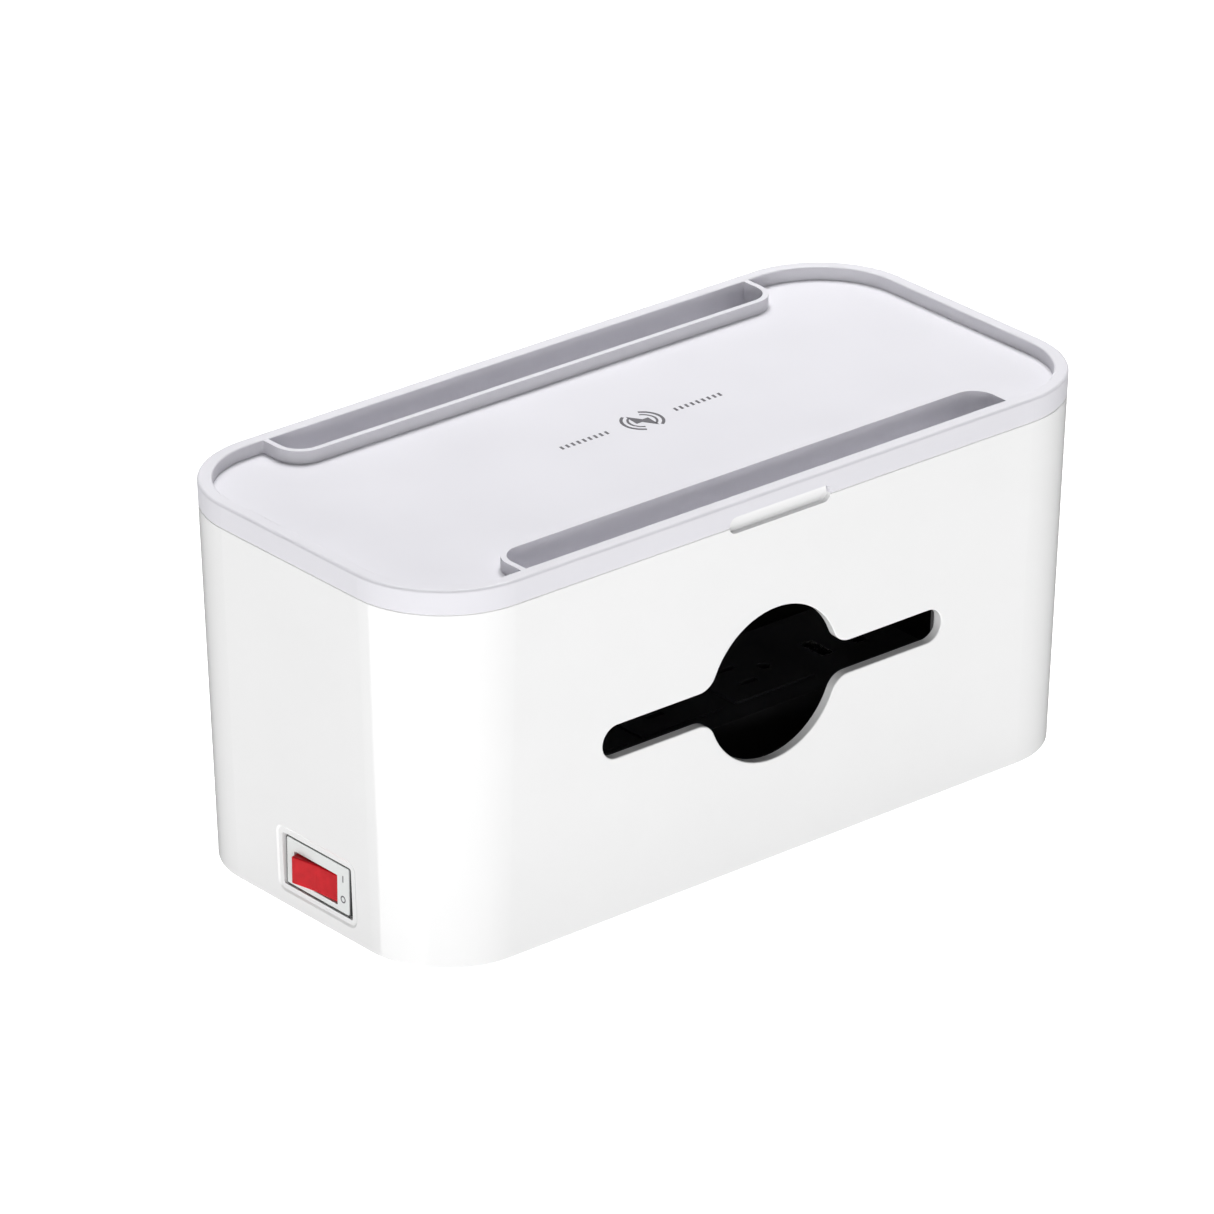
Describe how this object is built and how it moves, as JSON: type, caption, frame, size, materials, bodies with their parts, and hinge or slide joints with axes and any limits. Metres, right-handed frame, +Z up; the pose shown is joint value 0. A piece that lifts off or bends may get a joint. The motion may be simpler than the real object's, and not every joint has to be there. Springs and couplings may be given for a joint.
{
  "type": "cable management box",
  "caption": "Lidded cable management box with a switched power strip inside, a front lead opening, and a wireless charging tray lid with phone slots.",
  "frame": {"origin": "bottom centre of the box, on the surface its rubber feet stand on", "axes": "+X along the length towards the mains lead outlet, +Y to the back, +Z up; the lead opening is in the -Y face and the switch in the -X end"},
  "size_m": [0.3206, 0.1552, 0.1496],
  "materials": {
    "shell_white": "white ABS, satin gloss",
    "lid_white": "cool grey-white ABS, fine satin",
    "plate_white": "white ABS, satin",
    "liner_black": "black flame-retardant plastic, fine matte",
    "strip_black": "black flame-retardant plastic, matte",
    "rocker_red": "translucent red polycarbonate, glossy",
    "switch_black": "black nylon",
    "brass": "stamped brass",
    "copper": "enamelled copper litz wire",
    "ferrite": "dark sintered ferrite",
    "board_green": "green solder mask",
    "chip_black": "moulded epoxy",
    "core_yellow": "taped transformer core",
    "can_dark": "sleeved aluminium can",
    "steel": "nickel plated steel",
    "tongue_blue": "black contact tongue",
    "foot_rubber": "grey rubber",
    "gland_rubber": "black PVC bush",
    "lamp_glass": "clear neon lamp glass"
  },
  "bodies": {
    "box": {"outer_shell": "shell_white", "inner_liner": "liner_black", "rubber_feet": "foot_rubber", "strip_base": "strip_black", "strip_cover": "strip_black", "busbar_live": "brass", "busbar_neutral": "brass", "busbar_earth": "brass", "usb_port_shells": "steel", "usb_port_tongues": "tongue_blue", "usb_board": "board_green", "usb_transformer": "core_yellow", "usb_capacitors": "can_dark", "cord_gland": "gland_rubber", "strip_end_cap": "strip_black", "switch_plate": "plate_white", "rocker_housing": "switch_black", "switch_terminals": "brass", "switch_lamp": "lamp_glass", "box_screws": "steel"},
    "lid": {"lid_tray": "lid_white", "charger_cover": "lid_white", "charging_coil": "copper", "ferrite_sheet": "ferrite", "charger_board": "board_green", "charger_chips": "chip_black", "charger_inlet_shell": "steel", "charger_inlet_tongue": "tongue_blue", "charger_cover_screws": "steel"},
    "rocker": {"rocker": "rocker_red"}
  },
  "joints": [
    {"name": "lid_lift", "type": "slide", "parent": "box", "child": "lid", "axis": [0, 0, 1], "range_m": [0, 0.08]},
    {"name": "rocker_pivot", "type": "hinge", "parent": "box", "child": "rocker", "pos_m": [-0.15, -0.0062, 0.01905], "axis": [0, 0, -1], "range_deg": [0, 16]}
  ]
}
